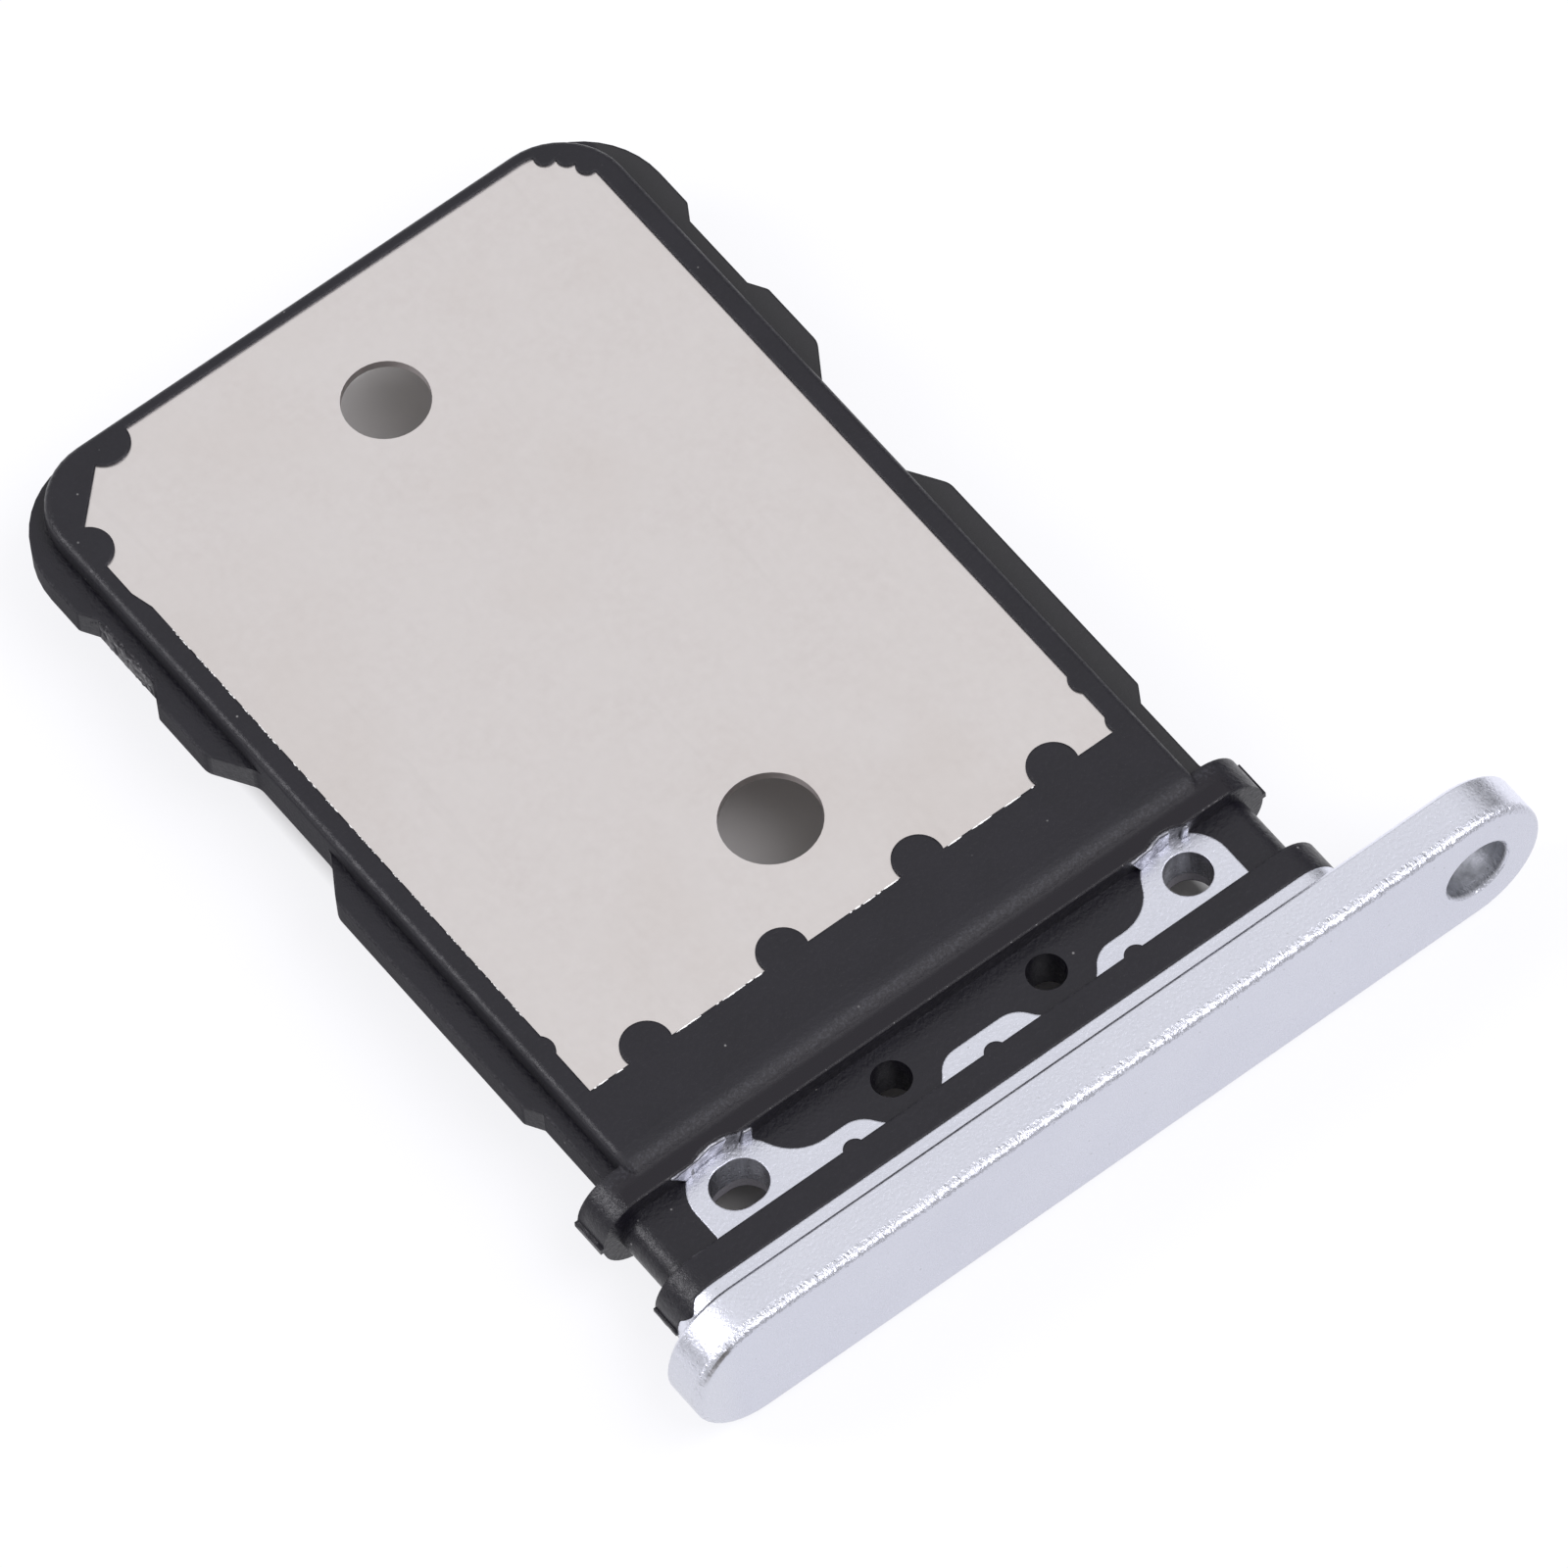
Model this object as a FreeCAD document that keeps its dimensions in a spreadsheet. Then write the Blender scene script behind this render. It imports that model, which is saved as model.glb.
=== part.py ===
import FreeCAD, Part
import math
import os
import re
import Sketcher

# A removable tray for one nano-size SIM card. A metal face cap carries a flat tongue that is
# moulded into a black frame, and a thin steel plate is moulded into the same frame.
# +Y is the way the tray goes in, +Z is up and +X points to the ejector pin hole. The origin
# lies on the cap's back plane, on the axis of the two flanges. All sizes are in millimetres.

SIZES = {
    # card, its pocket and the walls round it
    "card_width": 8.8,
    "card_length": 12.3,
    "card_thickness": 0.67,
    "card_clearance": 0.05,
    "card_play": 0.01,
    "card_corner_round": 1.0,
    "card_chamfer": 1.65,
    "side_wall": 0.38,
    "far_wall": 0.28,
    "near_wall": 1.15,
    # raised middle and the lip under it
    "plateau_setback": 0.2,
    "plateau_front_round": 0.4,
    "plateau_edge_round": 0.12,
    "plateau_corner_round": 1.1,
    "far_ledge": 0.04,
    "lip_depth": 0.1,
    "lip_setback": 0.08,
    # side rails
    "rail_reach": 0.41,
    "rail_top": 0.45,
    "rail_corner_round": 1.42,
    "rail_root_round": 0.15,
    "waist_depth": 0.16,
    "waist_ramp": 0.27,
    "waist_round": 0.12,
    "near_waist_length": 1.4,
    "far_waist_length": 1.3,
    "far_waist_setback": 2.33,
    "notch_setback": 5.85,
    "notch_length": 2.97,
    "notch_ramp": 0.66,
    "notch_round": 0.3,
    # boss, flanges and neck, one behind the other
    "boss_depth": 0.38,
    "front_flange_thickness": 0.5,
    "neck_length": 1.14,
    "back_flange_thickness": 0.58,
    "flange_reach": 0.36,
    "flange_height": 1.3,
    "groove_depth": 0.28,
    "rib_reach": 0.05,
    "rib_height": 0.1,
    "nub_radius": 0.17,
    "nub_projection": 0.1,
    "nub_pitch": 2.38,
    "nub_offset": 0.14,
    # face cap
    "cap_thickness": 0.75,
    "cap_overhang": 0.45,
    "cap_front_round": 0.12,
    "cap_back_break": 0.06,
    "pin_hole_distance": 7.11,
    "pin_hole_diameter": 1.0,
    "pin_hole_break": 0.05,
    # tongue and the row of holes in the neck
    "tongue_showing": 0.46,
    "tongue_thickness": 0.55,
    "hole_setback": 0.63,
    "left_bore_distance": 1.11,
    "right_bore_distance": 1.52,
    "bore_diameter": 0.58,
    "bore_wall": 0.39,
    "bite_corner_round": 0.42,
    "slot_pitch": 2.57,
    "slot_length": 0.86,
    "slot_width": 0.74,
    "eye_pitch": 2.42,
    "eye_diameter": 0.7,
    "lobe_margin": 0.3,
    "lobe_root_round": 0.7,
    "relief_depth": 0.09,
    # support plate and its window in the raised middle
    "plate_thickness": 0.15,
    "plate_recess": 0.03,
    "border_thickness": 0.08,
    "border_margin": 0.12,
    "border_corner_round": 1.1,
    "window_margin": 0.02,
    "window_chamfer": 0.97,
    "window_corner_round": 0.75,
    "scallop_radius": 0.17,
    "bay_depth": 0.09,
    "bay_length": 0.95,
    "bay_ramp": 0.35,
    "land_radius": 0.37,
    "land_pitch": 2.3,
    "land_inset": 0.1,
    "corner_land_setback": 1.06,
    "side_land_setback": 1.25,
    "side_land_outset": 0.14,
    "side_bump_radius": 0.25,
    "side_bump_outset": 0.18,
    "side_bump_setback": 0.93,
    "corner_bump_setback": 0.1,
    "near_hole_diameter": 1.46,
    "near_hole_setback": 1.85,
    "far_hole_diameter": 1.27,
    "far_hole_setback": 1.87,
}

# Places along the tray, from the cap's back plane
NECK_START = "(boss_depth + front_flange_thickness)"
NECK_END = f"({NECK_START} + neck_length)"
FLANGE_END = f"({NECK_END} + back_flange_thickness)"
HOLE_ROW = f"({NECK_START} + hole_setback)"
TONGUE_END = f"({NECK_START} + tongue_showing)"
PLATEAU_START = f"({NECK_END} + plateau_setback)"
POCKET_NEAR = f"({FLANGE_END} + near_wall)"
POCKET_FAR = f"({POCKET_NEAR} + card_length + 2 * card_clearance)"
TRAY_END = f"({POCKET_FAR} + far_wall)"
WINDOW_NEAR = f"({POCKET_NEAR} - window_margin)"
WINDOW_FAR = f"({POCKET_FAR} + window_margin)"
BAY_FAR = f"({WINDOW_FAR} - side_land_setback)"
NOTCH_NEAR = f"({FLANGE_END} + notch_setback)"
NOTCH_FAR = f"({NOTCH_NEAR} + notch_length)"
FAR_WAIST_END = f"({TRAY_END} - far_waist_setback)"

# Places across it, from its middle line
POCKET_HALF = "(card_width / 2 + card_clearance)"
WINDOW_HALF = f"({POCKET_HALF} + window_margin)"
PLATEAU_HALF = f"({POCKET_HALF} + side_wall)"
RAIL_HALF = f"({PLATEAU_HALF} + rail_reach)"
WAIST_HALF = f"({RAIL_HALF} - waist_depth)"
FLANGE_HALF = f"({RAIL_HALF} + flange_reach)"
NECK_HALF = f"({FLANGE_HALF} - groove_depth)"
CAP_LEFT = f"(-{FLANGE_HALF} - rib_reach - cap_overhang)"
CAP_RIGHT = "(pin_hole_distance + flange_height / 2 + cap_overhang)"
SLOT_DISTANCE = "(left_bore_distance + slot_pitch)"
EYE_DISTANCE = "(right_bore_distance + eye_pitch)"

# Heights, from the flanges' axis
NECK_TOP = "(flange_height / 2 - groove_depth)"
PLATE_BOTTOM = "(card_thickness + card_play - lip_depth)"
BORDER_TOP = f"({PLATE_BOTTOM} + border_thickness)"
PLATEAU_TOP = f"({PLATE_BOTTOM} + plate_thickness + plate_recess)"

# Rounds that keep one distance from a hole
BITE_RADIUS = "(bore_diameter / 2 + bore_wall)"
SLOT_LOBE = "(slot_width / 2 + lobe_margin)"
SLOT_SHIFT = "((slot_length - slot_width) / 2)"
EYE_LOBE = "(eye_diameter / 2 + lobe_margin)"
RELIEF_RADIUS = f"({NECK_END} + relief_depth - {HOLE_ROW})"

# Round bumps along the window's far right corner, in degrees from its side
SCALLOP_ANGLES = (13, 37, 61)

UP = FreeCAD.Vector(0, 0, 1)

doc = FreeCAD.newDocument("sim_tray")
sheet = doc.addObject("Spreadsheet::Sheet", "sizes")
for row, (name, number) in enumerate(SIZES.items(), 1):
    sheet.set(f"A{row}", name)
    sheet.set(f"B{row}", str(number))
    sheet.setAlias(f"B{row}", name)
doc.recompute()


def cell(expression):
    """Write each size named in the expression as a reference to its cell."""
    return re.sub(r"[a-z][a-z_]*", r"sizes.\g<0>", expression)


def value(expression):
    return float(sheet.evalExpression(cell(expression)))


def bind(thing, path, expression):
    thing.setExpression(path, cell(expression))


# Sketches

def new_sketch(body, plane, name, lift="0"):
    """A sketch on an origin plane, lifted along that plane's normal."""
    sketch = body.newObject("Sketcher::SketchObject", name)
    support = next(item for item in body.Origin.OriginFeatures if item.Role == plane)
    sketch.AttachmentSupport = [(support, "")]
    sketch.MapMode = "FlatFace"
    bind(sketch, "AttachmentOffset.Base.z", lift)
    return sketch


def fix(sketch, kind, items, expression):
    """Add a dimension and bind it to its cells."""
    index = sketch.addConstraint(Sketcher.Constraint(kind, *items, value(expression)))
    bind(sketch, f"Constraints[{index}]", expression)


def place(sketch, item, point, x, y):
    fix(sketch, "DistanceX", (-1, 1, item, point), x)
    fix(sketch, "DistanceY", (-1, 1, item, point), y)


def touch(sketch, kind, *items):
    sketch.addConstraint(Sketcher.Constraint(kind, *items))


def add_arc(sketch, x, y, radius, start, end):
    circle = Part.Circle(FreeCAD.Vector(x, y, 0), UP, radius)
    return sketch.addGeometry(Part.ArcOfCircle(circle, start, end))


def add_line(sketch, start, end):
    return sketch.addGeometry(Part.LineSegment(FreeCAD.Vector(*start, 0), FreeCAD.Vector(*end, 0)))


def add_circle(sketch, x, y, radius):
    circle = Part.Circle(FreeCAD.Vector(value(x), value(y), 0), UP, value(radius))
    item = sketch.addGeometry(circle)
    place(sketch, item, 3, x, y)
    fix(sketch, "Radius", (item,), radius)


def add_pill(sketch, x, y, half_width, radius):
    """A bar with full-round ends, long way along the sketch's X."""
    mid_x, mid_y, size = value(x), value(y), value(radius)
    reach = value(half_width) - size
    right = add_arc(sketch, mid_x + reach, mid_y, size, -math.pi / 2, math.pi / 2)
    left = add_arc(sketch, mid_x - reach, mid_y, size, math.pi / 2, math.pi * 3 / 2)
    top = add_line(sketch, (mid_x + reach, mid_y + size), (mid_x - reach, mid_y + size))
    bottom = add_line(sketch, (mid_x - reach, mid_y - size), (mid_x + reach, mid_y - size))
    touch(sketch, "Tangent", right, 2, top, 1)
    touch(sketch, "Tangent", top, 2, left, 1)
    touch(sketch, "Tangent", left, 2, bottom, 1)
    touch(sketch, "Tangent", bottom, 2, right, 1)
    place(sketch, right, 3, f"{x} + {half_width} - {radius}", y)
    place(sketch, left, 3, f"{x} - {half_width} + {radius}", y)
    fix(sketch, "Radius", (right,), radius)


def add_outline(sketch, corners):
    """A closed outline of straight sides, anticlockwise; a third entry rounds its corner."""
    count = len(corners)
    points = [FreeCAD.Vector(value(corner[0]), value(corner[1]), 0) for corner in corners]
    leave, arrive, rounds = [], [], []
    for index, corner in enumerate(corners):
        point = points[index]
        if len(corner) == 2:
            leave.append(point)
            arrive.append(point)
            rounds.append(None)
            continue
        back = (points[index - 1] - point).normalize()
        ahead = (points[(index + 1) % count] - point).normalize()
        half_angle = back.getAngle(ahead) / 2
        radius = value(corner[2])
        arrive.append(point + back * (radius / math.tan(half_angle)))
        leave.append(point + ahead * (radius / math.tan(half_angle)))
        rounds.append(point + (back + ahead).normalize() * (radius / math.sin(half_angle)))

    lines = []
    for index in range(count):
        side = Part.LineSegment(leave[index], arrive[(index + 1) % count])
        lines.append(sketch.addGeometry(side))

    for index, corner in enumerate(corners):
        before, after = lines[index - 1], lines[index]
        if rounds[index] is None:
            touch(sketch, "Coincident", before, 2, after, 1)
            place(sketch, after, 1, corner[0], corner[1])
            continue
        centre = rounds[index]
        first = arrive[index] - centre
        last = leave[index] - centre
        turns_left = first.cross(last).z > 0
        start, end = (first, last) if turns_left else (last, first)
        arc = add_arc(sketch, centre.x, centre.y, value(corner[2]),
                      math.atan2(start.y, start.x), math.atan2(end.y, end.x))
        touch(sketch, "Tangent", before, 2, arc, 1 if turns_left else 2)
        touch(sketch, "Tangent", arc, 2 if turns_left else 1, after, 1)
        fix(sketch, "Radius", (arc,), corner[2])
        tip = sketch.addGeometry(Part.Point(points[index]), True)
        touch(sketch, "PointOnObject", tip, 1, before)
        touch(sketch, "PointOnObject", tip, 1, after)
        place(sketch, tip, 1, corner[0], corner[1])


# Features

def new_body(label):
    body = doc.addObject("PartDesign::Body", label)
    body.Label = label
    return body


def pad(body, sketch, length, against_normal=False):
    feature = body.newObject("PartDesign::Pad", sketch.Name + "_pad")
    feature.Profile = sketch
    feature.Reversed = against_normal
    bind(feature, "Length", length)
    doc.recompute()
    return feature


def pocket(body, sketch, length=None, along_normal=False):
    """Cut a sketch's outline, by a length or, with none, right through both ways."""
    feature = body.newObject("PartDesign::Pocket", sketch.Name + "_cut")
    feature.Profile = sketch
    if length is None:
        feature.Type = "ThroughAll"
        feature.SideType = "Symmetric"
    else:
        feature.Reversed = along_normal
        bind(feature, "Length", length)
    doc.recompute()
    return feature


def round_edges(body, name, edges, radius, kind="Fillet"):
    """Round or bevel the given edges of the body as it stands."""
    base = body.Tip
    feature = body.newObject("PartDesign::" + kind, name)
    feature.Base = (base, edges)
    bind(feature, "Radius" if kind == "Fillet" else "Size", radius)
    doc.recompute()
    return feature


def edges_where(feature, test):
    """Names of the edges whose middle point passes the test."""
    names = []
    for index, edge in enumerate(feature.Shape.Edges, 1):
        middle = edge.valueAt((edge.FirstParameter + edge.LastParameter) / 2)
        if test(middle):
            names.append(f"Edge{index}")
    return names


def near(first, second):
    return abs(first - second) < 1e-4


def upright_edges(feature, test):
    """Names of the edges parallel to Z whose place passes the test."""
    names = []
    for index, edge in enumerate(feature.Shape.Edges, 1):
        ends = [vertex.Point for vertex in edge.Vertexes]
        if len(ends) == 2 and near(edge.Length, abs(ends[0].z - ends[1].z)) and test(*ends[0][:2]):
            names.append(f"Edge{index}")
    return names


# Face cap with its boss and tongue

def build_cap():
    body = new_body("face_cap")

    face = new_sketch(body, "XZ_Plane", "cap_face")
    add_pill(face, f"({CAP_LEFT} + {CAP_RIGHT}) / 2", "0", f"({CAP_RIGHT} - {CAP_LEFT}) / 2",
             "(flange_height / 2 + cap_overhang)")
    plate = pad(body, face, "cap_thickness")
    front = -value("cap_thickness")
    round_edges(body, "cap_front_rounding", edges_where(plate, lambda p: near(p.y, front)),
                "cap_front_round")
    round_edges(body, "cap_back_breaking", edges_where(body.Tip, lambda p: near(p.y, 0)),
                "cap_back_break", "Chamfer")

    boss = new_sketch(body, "XZ_Plane", "boss")
    add_pill(boss, "0", "0", FLANGE_HALF, "flange_height / 2")
    pad(body, boss, "boss_depth", against_normal=True)
    build_tongue(body)

    # Ejector pin hole, in line with the cap's round end
    hole = new_sketch(body, "XZ_Plane", "pin_hole")
    add_circle(hole, "pin_hole_distance", "0", "pin_hole_diameter / 2")
    bore = pocket(body, hole)
    middle_x, radius = value("pin_hole_distance"), value("pin_hole_diameter / 2")

    def is_rim(point):
        return near(point.y, front) and near(math.hypot(point.x - middle_x, point.z), radius)

    round_edges(body, "pin_hole_breaking", edges_where(bore, is_rim), "pin_hole_break", "Chamfer")
    return body


def build_tongue(body):
    """A flat tongue, its top flush with the neck's, that swells round the slot and the eye and
    keeps clear of the two bores between them."""
    root = new_sketch(body, "XY_Plane", "tongue", NECK_TOP)
    left, right = f"-({SLOT_DISTANCE} + {SLOT_SHIFT} + {SLOT_LOBE})", f"{EYE_DISTANCE} + {EYE_LOBE}"
    add_outline(root, [(left, "boss_depth / 2"), (right, "boss_depth / 2"), (right, HOLE_ROW),
                       (EYE_DISTANCE, HOLE_ROW), (EYE_DISTANCE, TONGUE_END),
                       (f"-{SLOT_DISTANCE}", TONGUE_END), (f"-{SLOT_DISTANCE}", HOLE_ROW),
                       (left, HOLE_ROW)])
    pad(body, root, "tongue_thickness", against_normal=True)
    slot_lobe = new_sketch(body, "XY_Plane", "slot_lobe", NECK_TOP)
    add_pill(slot_lobe, f"-{SLOT_DISTANCE}", HOLE_ROW, f"({SLOT_LOBE} + {SLOT_SHIFT})", SLOT_LOBE)
    pad(body, slot_lobe, "tongue_thickness", against_normal=True)
    eye_lobe = new_sketch(body, "XY_Plane", "eye_lobe", NECK_TOP)
    add_circle(eye_lobe, EYE_DISTANCE, HOLE_ROW, EYE_LOBE)
    pad(body, eye_lobe, "tongue_thickness", against_normal=True)
    end = value(TONGUE_END)
    roots = upright_edges(body.Tip, lambda x, y: near(y, end))
    round_edges(body, "lobe_rounding", roots, "lobe_root_round")

    bites = new_sketch(body, "XY_Plane", "bites", NECK_TOP)
    add_circle(bites, "-left_bore_distance", HOLE_ROW, BITE_RADIUS)
    add_circle(bites, "right_bore_distance", HOLE_ROW, BITE_RADIUS)
    cut = pocket(body, bites, "tongue_thickness")
    row, reach = value(HOLE_ROW), value(BITE_RADIUS)
    bores = (-value("left_bore_distance"), value("right_bore_distance"))
    tips = upright_edges(cut, lambda x, y: any(near(math.hypot(x - bore, y - row), reach)
                                               for bore in bores))
    round_edges(body, "bite_rounding", tips, "bite_corner_round")

    eyes = new_sketch(body, "XY_Plane", "tongue_holes", NECK_TOP)
    add_tongue_holes(eyes)
    pocket(body, eyes, "tongue_thickness")


def add_tongue_holes(sketch):
    add_pill(sketch, f"-{SLOT_DISTANCE}", HOLE_ROW, "(slot_length / 2)", "(slot_width / 2)")
    add_circle(sketch, EYE_DISTANCE, HOLE_ROW, "eye_diameter / 2")


# Support plate and the window above it

def add_window(body, prefix, height):
    """The plate's raised field: a window-shaped pad with a notch for each moulded land."""
    window = new_sketch(body, "XY_Plane", prefix + "_window", BORDER_TOP)
    add_outline(window, [(f"-{WINDOW_HALF}", WINDOW_NEAR), (WINDOW_HALF, WINDOW_NEAR),
                         (WINDOW_HALF, WINDOW_FAR, "window_corner_round"),
                         (f"window_chamfer - {WINDOW_HALF}", WINDOW_FAR),
                         (f"-{WINDOW_HALF}", f"{WINDOW_FAR} - window_chamfer"),
                         (f"-{WINDOW_HALF}", BAY_FAR),
                         (f"-{WINDOW_HALF} - bay_depth", f"{BAY_FAR} - bay_ramp"),
                         (f"-{WINDOW_HALF} - bay_depth", f"{BAY_FAR} - bay_length"),
                         (f"-{WINDOW_HALF}", f"{BAY_FAR} - bay_length - bay_ramp")])
    pad(body, window, height)
    lands = new_sketch(body, "XY_Plane", prefix + "_lands", BORDER_TOP)
    for step in (-1.5, -0.5, 0.5, 1.5):
        add_circle(lands, f"{step} * land_pitch", f"{WINDOW_NEAR} + land_inset", "land_radius")
    add_circle(lands, f"corner_land_setback - {WINDOW_HALF}", WINDOW_FAR, "land_radius")
    add_circle(lands, f"-{WINDOW_HALF} - side_land_outset", f"{WINDOW_FAR} - side_land_setback",
               "land_radius")
    bump_x, bump_y = f"({WINDOW_HALF} + side_bump_outset)", f"{WINDOW_NEAR} + side_bump_setback"
    add_circle(lands, f"-{bump_x}", bump_y, "side_bump_radius")
    add_circle(lands, bump_x, bump_y, "side_bump_radius")
    add_circle(lands, bump_x, f"{WINDOW_NEAR} + corner_bump_setback", "side_bump_radius")
    pocket(body, lands, height, along_normal=True)
    scallops = new_sketch(body, "XY_Plane", prefix + "_scallops", BORDER_TOP)
    for angle in SCALLOP_ANGLES:
        across, along = math.cos(math.radians(angle)), math.sin(math.radians(angle))
        add_circle(scallops, f"{WINDOW_HALF} - window_corner_round * {1 - across:.4f}",
                   f"{WINDOW_FAR} - window_corner_round * {1 - along:.4f}", "scallop_radius")
    pocket(body, scallops, height, along_normal=True)


def build_plate():
    body = new_body("support_plate")
    border = new_sketch(body, "XY_Plane", "border", PLATE_BOTTOM)
    side = f"({WINDOW_HALF} + border_margin)"
    near_edge, far_edge = f"{WINDOW_NEAR} - border_margin", f"{WINDOW_FAR} + border_margin"
    add_outline(border, [(f"-{side}", near_edge), (side, near_edge),
                         (side, far_edge, "border_corner_round"),
                         (f"-{side}", far_edge, "border_corner_round")])
    pad(body, border, "border_thickness")
    add_window(body, "plate", "plate_thickness - border_thickness")
    holes = new_sketch(body, "XY_Plane", "plate_holes", BORDER_TOP)
    add_circle(holes, "0", f"{POCKET_NEAR} + near_hole_setback", "near_hole_diameter / 2")
    add_circle(holes, "0", f"{POCKET_FAR} - far_hole_setback", "far_hole_diameter / 2")
    pocket(body, holes)
    return body


def build_window_space():
    """What stays open above the plate's border: the window, up to the frame's top."""
    body = new_body("window_space")
    add_window(body, "space", f"{PLATEAU_TOP} - {BORDER_TOP}")
    return body


# Frame, before the metal pieces take up their room in it

def add_block_outline(sketch, side, far):
    """Straight sides from the back flange to rounded far corners."""
    add_outline(sketch, [(f"-{side}", PLATEAU_START), (side, PLATEAU_START),
                         (side, far, "plateau_corner_round"),
                         (f"-{side}", far, "plateau_corner_round")])


def add_plateau(body):
    """Raised middle with a rounded edge, deeper at the front, and a lip underneath."""
    middle = new_sketch(body, "XY_Plane", "plateau")
    add_block_outline(middle, PLATEAU_HALF, f"({TRAY_END} - far_ledge)")
    block = pad(body, middle, PLATEAU_TOP)
    top, start = value(PLATEAU_TOP), value(PLATEAU_START)
    round_edges(body, "plateau_front", edges_where(block, lambda p: near(p.z, top) and near(p.y, start)),
                "plateau_front_round")
    crest = start + value("plateau_front_round")
    round_edges(body, "plateau_sides",
                edges_where(body.Tip, lambda p: near(p.z, top) and not near(p.y, crest)),
                "plateau_edge_round")
    lip = new_sketch(body, "XY_Plane", "lip")
    add_block_outline(lip, f"({PLATEAU_HALF} - lip_setback)", f"({TRAY_END} - lip_setback)")
    pad(body, lip, "lip_depth", against_normal=True)


def add_rails(body):
    """Side rails with a narrow waist near each end and a deep notch between them."""
    side = [(WAIST_HALF, f"{NECK_END} + back_flange_thickness / 2"),
            (WAIST_HALF, f"{FLANGE_END} + near_waist_length"),
            (RAIL_HALF, f"{FLANGE_END} + near_waist_length + waist_ramp", "waist_round"),
            (RAIL_HALF, NOTCH_NEAR, "notch_round"),
            (PLATEAU_HALF, f"{NOTCH_NEAR} + notch_ramp", "notch_round"),
            (PLATEAU_HALF, f"{NOTCH_FAR} - notch_ramp", "notch_round"),
            (RAIL_HALF, NOTCH_FAR, "notch_round"),
            (RAIL_HALF, f"{FAR_WAIST_END} - far_waist_length - waist_ramp", "waist_round"),
            (WAIST_HALF, f"{FAR_WAIST_END} - far_waist_length"),
            (WAIST_HALF, FAR_WAIST_END),
            (RAIL_HALF, f"{FAR_WAIST_END} + waist_ramp", "waist_round"),
            (RAIL_HALF, TRAY_END, "rail_corner_round")]
    mirrored = [(f"-{corner[0]}", *corner[1:]) for corner in reversed(side)]
    rails = new_sketch(body, "XY_Plane", "rails")
    add_outline(rails, side + mirrored)
    pad(body, rails, "rail_top")


def add_neck(body):
    """Neck and back flange, the flange's front face relieved round the tongue's lobes; then the
    front flange with three small nubs on its back, and the four holes through the neck. Where
    the mould's halves met, a low rib is left on the back flange's ends."""
    neck = new_sketch(body, "XZ_Plane", "neck", "-boss_depth")
    add_pill(neck, "0", "0", NECK_HALF, NECK_TOP)
    pad(body, neck, f"{FLANGE_END} - boss_depth", against_normal=True)
    back = new_sketch(body, "XZ_Plane", "back_flange", f"-{NECK_END}")
    add_pill(back, "0", "0", FLANGE_HALF, "flange_height / 2")
    pad(body, back, "back_flange_thickness", against_normal=True)
    relief = new_sketch(body, "XY_Plane", "relief", NECK_TOP)
    add_pill(relief, f"-{SLOT_DISTANCE}", HOLE_ROW, f"({RELIEF_RADIUS} + {SLOT_SHIFT})",
             RELIEF_RADIUS)
    add_circle(relief, EYE_DISTANCE, HOLE_ROW, RELIEF_RADIUS)
    pocket(body, relief, "flange_height", along_normal=True)
    waist, flange_end = value(WAIST_HALF), value(FLANGE_END)
    roots = upright_edges(body.Tip, lambda x, y: near(abs(x), waist) and near(y, flange_end))
    round_edges(body, "rail_roots", roots, "rail_root_round")

    flange = new_sketch(body, "XZ_Plane", "front_flange", "-boss_depth")
    add_pill(flange, "0", "0", FLANGE_HALF, "flange_height / 2")
    pad(body, flange, "front_flange_thickness", against_normal=True)
    nubs = new_sketch(body, "XY_Plane", "nubs")
    for step in (-1, 0, 1):
        add_circle(nubs, f"nub_offset + {step} * nub_pitch",
                   f"{NECK_START} + nub_projection - nub_radius", "nub_radius")
    pad(body, nubs, "flange_height / 2")
    rib = new_sketch(body, "XY_Plane", "rib", "-rib_height / 2")
    reach = f"({FLANGE_HALF} + rib_reach)"
    add_outline(rib, [(f"-{reach}", NECK_END), (reach, NECK_END), (reach, FLANGE_END),
                      (f"-{reach}", FLANGE_END)])
    pad(body, rib, "rib_height")

    holes = new_sketch(body, "XY_Plane", "neck_holes")
    add_circle(holes, "-left_bore_distance", HOLE_ROW, "bore_diameter / 2")
    add_circle(holes, "right_bore_distance", HOLE_ROW, "bore_diameter / 2")
    add_tongue_holes(holes)
    pocket(body, holes)


def build_moulding():
    body = new_body("moulding")
    add_plateau(body)
    add_rails(body)
    add_neck(body)

    # Card pocket from below, up to the plate, with the card's one cut corner
    card = new_sketch(body, "XY_Plane", "card_pocket", "-lip_depth")
    add_outline(card, [(f"-{POCKET_HALF}", POCKET_NEAR, "card_corner_round"),
                       (POCKET_HALF, POCKET_NEAR, "card_corner_round"),
                       (POCKET_HALF, POCKET_FAR, "card_corner_round"),
                       (f"card_chamfer - {POCKET_HALF}", POCKET_FAR),
                       (f"-{POCKET_HALF}", f"{POCKET_FAR} - card_chamfer")])
    pocket(body, card, f"lip_depth + {BORDER_TOP}", along_normal=True)
    return body


def cut_away(base, tool, name):
    cut = doc.addObject("Part::Cut", name)
    cut.Base, cut.Tool = base, tool
    doc.recompute()
    return cut


cap = build_cap()
plate = build_plate()
opened = cut_away(build_moulding(), build_window_space(), "open_window")
seated = cut_away(opened, plate, "plate_seat")
frame = cut_away(seated, cap, "tray_frame")
frame.Label = "tray_frame"
doc.recompute()

for item in doc.Objects:
    if "Invalid" in item.State or "Error" in item.State:
        raise RuntimeError(f"{item.Name} did not build: {item.State}")

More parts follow.
